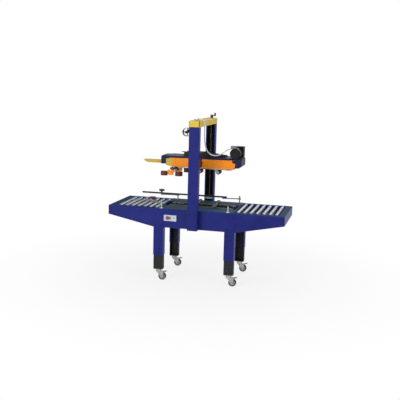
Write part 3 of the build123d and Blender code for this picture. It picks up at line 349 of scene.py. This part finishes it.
def hex_bolts(name, body, heads, facing, across, height, finish):
    """One mesh of washered hexagon bolt heads standing on a face, facing along an axis."""
    washer = 0.0014
    turn = Vector(facing).to_track_quat("Z", "Y").to_matrix().to_4x4()
    bm = bmesh.new()
    for place in heads:
        spot = Matrix.Translation(place) @ turn
        bmesh.ops.create_cone(bm, cap_ends=True, segments=20, radius1=across * 0.78,
                              radius2=across * 0.74, depth=washer,
                              matrix=spot @ Matrix.Translation((0, 0, washer / 2)))
        head = bmesh.ops.create_cone(bm, cap_ends=True, segments=6, radius1=across * 0.577,
                                     radius2=across * 0.577, depth=height,
                                     matrix=spot @ Matrix.Translation((0, 0, washer + height / 2)))
        top = spot @ Vector((0, 0, washer + height))
        rim = [e for e in {e for v in head["verts"] for e in v.link_edges}
               if all((v.co - top).dot(Vector(facing)) > -1e-5 for v in e.verts)]
        bmesh.ops.bevel(bm, geom=rim, offset=0.0010, offset_type="OFFSET", segments=2, profile=0.5,
                        affect="EDGES", material=-1)
    mesh = bpy.data.meshes.new(name)
    bm.to_mesh(mesh)
    bm.free()
    mesh.materials.append(finish)
    bolts = bpy.data.objects.new(name, mesh)
    bpy.context.scene.collection.objects.link(bolts)
    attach(bolts, body)


def bolts_on_both_sides(name, body, node, places, across, height, finish):
    """The same bolt heads at (x, z) places on a node's near and far outer faces."""
    face_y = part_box(node)[1].y
    for side_name, side in (("near", -1), ("far", 1)):
        heads = [(x, side * face_y, z) for x, z in places]
        hex_bolts(f"{name}_{side_name}", body, heads, (0, side, 0), across, height, finish)


bed_blue = stoved_enamel("deep_blue_enamel", (0.0095, 0.0145, 0.155), 0.34)
# The top faces of the flanges and the cross frame get a lighter teal blue. This is painted sheen of the
# lamps on the same deep blue enamel.
flange_top_sheen_blue = stoved_enamel("painted_top_sheen_blue", (0.005, 0.038, 0.100), 0.58, 0.0,
                            (0.22, 0.30, 0.38), 0.74, 7, 0.03)
flange_face_z = 0.70795
dress("side_panels", bed_blue, (flange_top_sheen_blue, lambda x, y, z: z > flange_face_z))
dress("cross_frame", bed_blue, (flange_top_sheen_blue, lambda x, y, z: z > flange_face_z))
bolts_on_both_sides("end_plate_bolts", "bed", "side_panels",
                    [(x, z) for x in (-0.845, 0.845) for z in (0.645, 0.685)],
                    0.010, 0.004, bed_blue)


# ------------------------------------------------------------------ deck plates and guide posts
# Flat sheets beside the belts, in a lighter teal blue that is painted sheen of the lamps on their top faces,
# with chips worn by cartons, and bright turned posts for the guide arms bolted through them.
# The lighter teal blue is painted sheen on top-facing sheets; the chips to bare metal are real wear.
deck_top_sheen_blue = stoved_enamel("deck_painted_sheen_blue", (0.010, 0.056, 0.115), 0.50, 0.0,
                          (0.30, 0.36, 0.42), 0.72, 7, 0.06)
bright_steel = plated("turned_bright_steel", (0.60, 0.60, 0.60), 0.28, (20, 20, 1), 300)
post_foot_z = 0.7111
dress("deck_plates_and_posts", deck_top_sheen_blue, (bright_steel, lambda x, y, z: z > post_foot_z))


# ------------------------------------------------------------------ legs
# Bent channels in the same blue, bolted to the outside of the panels. Black inner
# channels slide in them, and two bolts set the table's height.
leg_black = stoved_enamel("satin_black_enamel", (0.016, 0.018, 0.022), 0.45, 0.04, (0.30, 0.30, 0.31), 0.68)
dress("outer_legs", bed_blue)
foot_plate_top_z = 0.1091
dress("inner_legs", leg_black, (fastener_zinc, lambda x, y, z: z < foot_plate_top_z))
leg_bolt_places = []
for leg_x in (-0.348, 0.348):
    leg_bolt_places += [(leg_x + dx, z) for dx in (-0.026, 0.026) for z in (0.545, 0.665)]
    leg_bolt_places += [(leg_x, 0.278), (leg_x, 0.318)]
bolts_on_both_sides("leg_bolts", "bed", "outer_legs", leg_bolt_places, 0.012, 0.005, bed_blue)


# ------------------------------------------------------------------ castors
# Pressed zinc-plated forks with a foot brake, and 75 mm wheels with a black rubber
# tyre on a grey nylon hub, on a bolt with a nut on each side.
castor_zinc = plated("pressed_zinc_fork", (0.58, 0.58, 0.57), 0.30, (12, 12, 12), 500)
brake_black = moulded("black_brake_pedal", (0.03, 0.03, 0.032), 0.5)
tyre_rubber = moulded("black_tyre_rubber", (0.020, 0.020, 0.022), 0.62, 900, 0.30)
hub_nylon = moulded("grey_nylon_hub", (0.25, 0.25, 0.26), 0.40)
hub_radius = 0.0286
pedal_from_axle = 0.0165
pedal_low_z = 0.0805
for place in ("near_infeed", "near_outfeed", "far_infeed", "far_outfeed"):
    wheel_low, wheel_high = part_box("castor_wheel_" + place)
    axle = (wheel_low + wheel_high) / 2
    dress("castor_wheel_" + place, tyre_rubber,
          (hub_nylon, lambda x, y, z, a=axle: math.hypot(x - a.x, z - a.z) < hub_radius))
    dress("castor_fork_" + place, castor_zinc,
          (brake_black, lambda x, y, z, a=axle: x > a.x + pedal_from_axle and z > pedal_low_z))


# ------------------------------------------------------------------ gravity rollers
# Zinc-plated steel tubes with a pressed bearing in each end, dropped into the lips of
# the side panels on plain steel axles. They are bright where cartons run.
roller_zinc = plated("roller_tube_zinc", (0.155, 0.175, 0.215), 0.27, (60, 1, 60), 240)
bearing_cap = moulded("black_bearing_cap", (0.03, 0.03, 0.032), 0.45)
axle_steel = plated("plain_axle_steel", (0.42, 0.42, 0.43), 0.38, (40, 1, 40), 240)
axle_radius = 0.0052
bearing_radius = 0.0172
tube_end_y = 0.228
for stage_name in ("infeed", "outfeed"):
    for number in range(1, 8):
        node = f"{stage_name}_roller_{number}"
        roller_low, roller_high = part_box(node)
        centre = (roller_low + roller_high) / 2
        dress(node, roller_zinc,
              (axle_steel, lambda x, y, z, c=centre: math.hypot(x - c.x, z - c.z) < axle_radius),
              (bearing_cap, lambda x, y, z, c=centre: math.hypot(x - c.x, z - c.z) < bearing_radius
               and abs(y) > tube_end_y))


# ------------------------------------------------------------------ lower belt drive
# Black steel plates with ground slider beds between them; ribbed rubber belts run over
# turned pulleys, driven by a chain from a gear motor hung beside the cross tube.
frame_black = stoved_enamel("black_frame_enamel", (0.020, 0.020, 0.023), 0.40, 0.1, (0.30, 0.30, 0.31), 0.68)
pulley_steel = plated("turned_pulley_steel", (0.48, 0.49, 0.50), 0.30, (40, 1, 40), 300)


def ribbed_belt(name, colour, pitch):
    """Rubber belt with shallow ribs across it and a dusty, carton-polished face."""
    material = moulded(name, colour, 0.62, 700, 0.2, 0.25, 9)
    tree = material.node_tree
    place = tree.nodes.new("ShaderNodeTexCoord")
    ribs = tree.nodes.new("ShaderNodeTexWave")
    ribs.bands_direction = "X"
    ribs.inputs["Scale"].default_value = 0.314 / pitch
    ribs.inputs["Distortion"].default_value = 0.0
    ridge = tree.nodes.new("ShaderNodeBump")
    ridge.inputs["Strength"].default_value = 0.55
    ridge.inputs["Distance"].default_value = 0.0012
    shader = tree.nodes["Principled BSDF"]
    skin_normal = shader.inputs["Normal"].links[0].from_socket
    tree.links.new(place.outputs["Object"], ribs.inputs["Vector"])
    tree.links.new(ribs.outputs["Fac"], ridge.inputs["Height"])
    tree.links.new(skin_normal, ridge.inputs["Normal"])
    tree.links.new(ridge.outputs["Normal"], shader.inputs["Normal"])
    return material


belt_rubber = ribbed_belt("ribbed_black_belt", (0.022, 0.022, 0.026), 0.008)
chain_steel = ribbed_belt("oiled_roller_chain", (0.07, 0.065, 0.06), 0.0095)
chain_steel.node_tree.nodes["Principled BSDF"].inputs["Metallic"].default_value = 0.8
idler_x, idler_z = -0.3, 0.681
slider_bed_z = 0.7045
dress("lower_drive_frame", frame_black,
      (pulley_steel, lambda x, y, z: z > slider_bed_z
       or (x < -0.265 and math.hypot(x - idler_x, z - idler_z) < 0.0305 and 0.0645 < abs(y) < 0.1175)
       or math.hypot(x - idler_x, z - idler_z) < 0.0105))
dress("lower_belts_and_chain", belt_rubber, (chain_steel, lambda x, y, z: y > 0.128))
dress("lower_drive_pulleys", pulley_steel)
gear_grey = stoved_enamel("cast_grey_enamel", (0.10, 0.11, 0.12), 0.45, 0.05, (0.3, 0.3, 0.3), 0.72, 9)
dress("lower_gear_motor", gear_grey, (pulley_steel, lambda x, y, z: y < 0.1425))


# ------------------------------------------------------------------ lower tape head
# A black steel cartridge between the belts: cheeks, spacers, a knife guard, the tape
# roll on its core, and two arms with soft rollers that press the tape on.
cartridge_black = stoved_enamel("cartridge_black", (0.016, 0.016, 0.018), 0.38, 0.15, (0.3, 0.3, 0.31), 0.69)
packing_tape = moulded("brown_packing_tape", (0.42, 0.25, 0.10), 0.22, 300, 0.03, 0.06, 60)
arm_steel = plated("cut_arm_steel", (0.50, 0.50, 0.49), 0.33, (8, 8, 8), 500)
wipe_rubber = moulded("dark_wipe_roller", (0.030, 0.026, 0.026), 0.58, 700, 0.25)
brush_brown = moulded("brown_wiper_brush", (0.10, 0.06, 0.03), 0.8, 1500, 0.6)
core_x, core_z = -0.11, 0.616
dress("lower_tape_head", cartridge_black,
      (packing_tape, lambda x, y, z: 0.0101 < math.hypot(x - core_x, z - core_z) < 0.0345
       and abs(y) < 0.0285),
      (bright_steel, lambda x, y, z: abs(y) < 0.0495 and math.hypot(x - core_x, z - core_z) < 0.0105))
for place, roller_z in (("lower", 0.748), ("upper", 1.051)):
    for turn, roller_x in (("front", -0.020), ("rear", 0.165)):
        dress(f"{place}_{turn}_tape_arm", arm_steel,
              (wipe_rubber, lambda x, y, z, rx=roller_x, rz=roller_z:
               0.0045 < math.hypot(x - rx, z - rz) < 0.0215 and abs(y) < 0.0385),
              (brush_brown, lambda x, y, z, rx=roller_x: abs(x - rx + 0.026) < 0.0021 and abs(y) < 0.0395
               and turn == "rear"))


# ------------------------------------------------------------------ columns, beam and lift
# Blue channels bolted to the panels guide the head. A yellow bridge joins them over
# the two lead screws, which the crank on the far side turns.
# The channels' inner faces take the black frame enamel as painted shade; the real channels are blue inside,
# only shaded.
dress("columns", bed_blue,
      (frame_black, lambda x, y, z: abs(x) < 0.0456 and 0.3079 < abs(y) < 0.3701 and z > 0.7549),
      (bright_steel, lambda x, y, z: z < 0.7545 and abs(x) < 0.0456 and abs(y) < 0.3701
                            and abs(y) > 0.3079 and z > 0.7299))
bolts_on_both_sides("column_bolts", "bed", "columns",
                    [(x, z) for x in (-0.028, 0.028) for z in (0.56, 0.68)],
                    0.012, 0.005, bed_blue)
beam_yellow = stoved_enamel("golden_yellow_enamel", (0.68, 0.47, 0.040), 0.34, 0.04, (0.5, 0.5, 0.48), 0.78)
gland_grey = moulded("grey_nylon_gland", (0.16, 0.16, 0.17), 0.4)
beam_top_z = 1.5561
gland_y = -0.304
beam_infeed_x = -0.05255
dress("top_beam", beam_yellow,
      (gland_grey, lambda x, y, z: z > beam_top_z and abs(y - gland_y) < 0.0095 and 0.006 < x < 0.0385),
      (fastener_zinc, lambda x, y, z: z > beam_top_z),
      (frame_black, lambda x, y, z: x < beam_infeed_x))


def threaded_steel(name, lead):
    """Rolled trapezoidal thread on a bright bar, coloured darker in the groove than on the crests."""
    material = plated(name, (0.50, 0.50, 0.50), 0.28, (1, 1, 1), 200)
    tree = material.node_tree
    place = tree.nodes.new("ShaderNodeTexCoord")
    groove = tree.nodes.new("ShaderNodeTexWave")
    groove.bands_direction = "Z"
    groove.inputs["Scale"].default_value = 0.314 / lead
    groove.inputs["Distortion"].default_value = 0.0
    shade = tree.nodes.new("ShaderNodeValToRGB")
    shade.color_ramp.elements[0].position = 0.35
    shade.color_ramp.elements[1].position = 0.62
    shade.color_ramp.elements[0].color = (0.03, 0.028, 0.026, 1)
    shade.color_ramp.elements[1].color = (0.22, 0.22, 0.22, 1)
    ridge = tree.nodes.new("ShaderNodeBump")
    ridge.inputs["Strength"].default_value = 0.8
    ridge.inputs["Distance"].default_value = 0.0015
    shader = tree.nodes["Principled BSDF"]
    tree.links.new(place.outputs["Object"], groove.inputs["Vector"])
    tree.links.new(groove.outputs["Fac"], ridge.inputs["Height"])
    tree.links.new(groove.outputs["Fac"], shade.inputs["Fac"])
    tree.links.new(shade.outputs["Color"], shader.inputs["Base Color"])
    tree.links.new(ridge.outputs["Normal"], shader.inputs["Normal"])
    return material


screw_thread = threaded_steel("lead_screw_thread", 0.005)
for place in ("near", "far"):
    dress("lead_screw_" + place, screw_thread, (pulley_steel, lambda x, y, z: z > 1.5185))
crank_black = moulded("black_cast_crank", (0.020, 0.020, 0.022), 0.4, 500, 0.2)
dress("lift_crank", crank_black)


# ------------------------------------------------------------------ tape reel
# The upper roll's core holder: a thin grey plastic ring on a black hub, which spins on
# a steel mandrel held beside the beam.
ring_grey = moulded("grey_core_ring", (0.30, 0.31, 0.32), 0.40)
hub_black = moulded("black_core_hub", (0.022, 0.022, 0.024), 0.5)
reel_x, reel_z = -0.166, 1.426
reel_hub_radius = 0.0382
dress("tape_reel", ring_grey,
      (hub_black, lambda x, y, z: math.hypot(x - reel_x, z - reel_z) < reel_hub_radius))


# ------------------------------------------------------------------ head
# The head's plates are black; orange folded covers close its sides, a yellow nose
# leads the cartons in, and a navy tray covers the top round the tape cartridge.
dress("head_frame", frame_black,
      (bright_steel, lambda x, y, z: z < 1.0861 and abs(y) > 0.1215),
      (pulley_steel, lambda x, y, z: z < 1.0951 and abs(y) < 0.1215),
      (gear_grey, lambda x, y, z: abs(y) > 0.3089))
head_orange = stoved_enamel("head_orange_enamel", (0.88, 0.27, 0.018), 0.30, 0.06, (0.5, 0.5, 0.48), 0.78)
nose_yellow = stoved_enamel("nose_yellow_enamel", (0.56, 0.38, 0.070), 0.34, 0.04, (0.5, 0.5, 0.48), 0.78)
nose_x = -0.2711
dress("head_side_covers", head_orange, (nose_yellow, lambda x, y, z: x < nose_x))
cover_navy = stoved_enamel("cover_navy_enamel", (0.012, 0.015, 0.055), 0.34, 0.06, (0.32, 0.33, 0.36), 0.76)
dress("head_top_cover", cover_navy)
dress("upper_belts", belt_rubber)
dress("upper_drive_pulleys", pulley_steel)
dress("upper_tape_head", cartridge_black)
bolts_on_both_sides("cover_screws", "head", "head_side_covers",
                    [(x, z) for x in (-0.245, -0.09, 0.09, 0.20, 0.295) for z in (1.112, 1.166)],
                    0.0075, 0.0030, head_orange)


# ------------------------------------------------------------------ upper drive
# A ribbed black motor lies across a navy sheet-metal housing, with a grey terminal
# box on it and a tall black gear case beside it.
motor_black = stoved_enamel("ribbed_motor_black", (0.009, 0.0095, 0.010), 0.45, 0.05,
                            (0.3, 0.3, 0.3), 0.72, 9)
terminal_grey = moulded("grey_terminal_box", (0.16, 0.165, 0.175), 0.45)
motor_x, motor_z = 0.343, 1.2475
motor_radius = 0.0522
dress("upper_motor", motor_black,
      (terminal_grey, lambda x, y, z: y > -0.1221 and x < 0.3471
       and math.hypot(x - motor_x, z - motor_z) > motor_radius))
housing_top_z = 1.19605
dress("upper_drive_housing", cover_navy, (motor_black, lambda x, y, z: z > housing_top_z))


# ------------------------------------------------------------------ side pressers
# Orange brackets slide on bright rods under the head and carry two soft upright
# rollers each, in dark red rubber, that square the carton's sides.
presser_rubber = moulded("dark_red_rubber", (0.085, 0.022, 0.020), 0.60, 800, 0.25)
presser_y = 0.158
front_roller_x, rear_roller_x = -0.344, -0.196
roller_top_z = 1.05205
bracket_top_z = 1.0672
for side_name in ("near", "far"):
    dress(side_name + "_side_presser", head_orange,
          (presser_rubber, lambda x, y, z: z < roller_top_z
           and (math.hypot(x - front_roller_x, abs(y) - presser_y) < 0.0332
                or math.hypot(x - rear_roller_x, abs(y) - presser_y) < 0.0362)),
          (frame_black, lambda x, y, z: z > bracket_top_z))


# ------------------------------------------------------------------ carton guides
# Bright steel arms turn on the posts; a black rail lies along the far side. Knobs in
# dark red plastic with five lobes clamp them.
knob_maroon = moulded("maroon_knob_plastic", (0.11, 0.018, 0.018), 0.32, 900, 0.08)
rail_black = stoved_enamel("black_rail_enamel", (0.016, 0.016, 0.018), 0.35, 0.2, (0.35, 0.35, 0.36), 0.66)
dress("far_guide_arm_infeed", arm_steel, (knob_maroon, lambda x, y, z: z > 0.7751))
dress("far_guide_arm_outfeed", arm_steel)
dress("near_guide_arm", arm_steel, (knob_maroon, lambda x, y, z: z > 0.7641))
dress("far_guide_rail", rail_black)


# ------------------------------------------------------------------ controls
# A pale plate in a window of the near panel holds a red mushroom stop button, a green
# rocker switch and a lamp, in front of a blue steel box.
plate_pale = stoved_enamel("pale_control_plate", (0.50, 0.52, 0.58), 0.35, 0.1, (0.4, 0.4, 0.4), 0.72, 12)
lamp_green = moulded("green_lamp_lens", (0.05, 0.45, 0.16), 0.12, 300, 0.02)
collar_black = moulded("black_button_collar", (0.02, 0.02, 0.022), 0.4)
dress("control_box", plate_pale,
      (lamp_green, lambda x, y, z: math.hypot(x + 0.196, z - 0.623) < 0.0051 and y < -0.2969),
      (collar_black, lambda x, y, z: math.hypot(x + 0.258, z - 0.622) < 0.0165 and y < -0.30755),
      (bed_blue, lambda x, y, z: y > -0.3049))
stop_red = moulded("red_button_plastic", (0.55, 0.02, 0.02), 0.22, 900, 0.05)
switch_green = moulded("green_rocker_plastic", (0.03, 0.28, 0.09), 0.25, 900, 0.05)
dress("stop_button", stop_red)
dress("power_switch", switch_green)
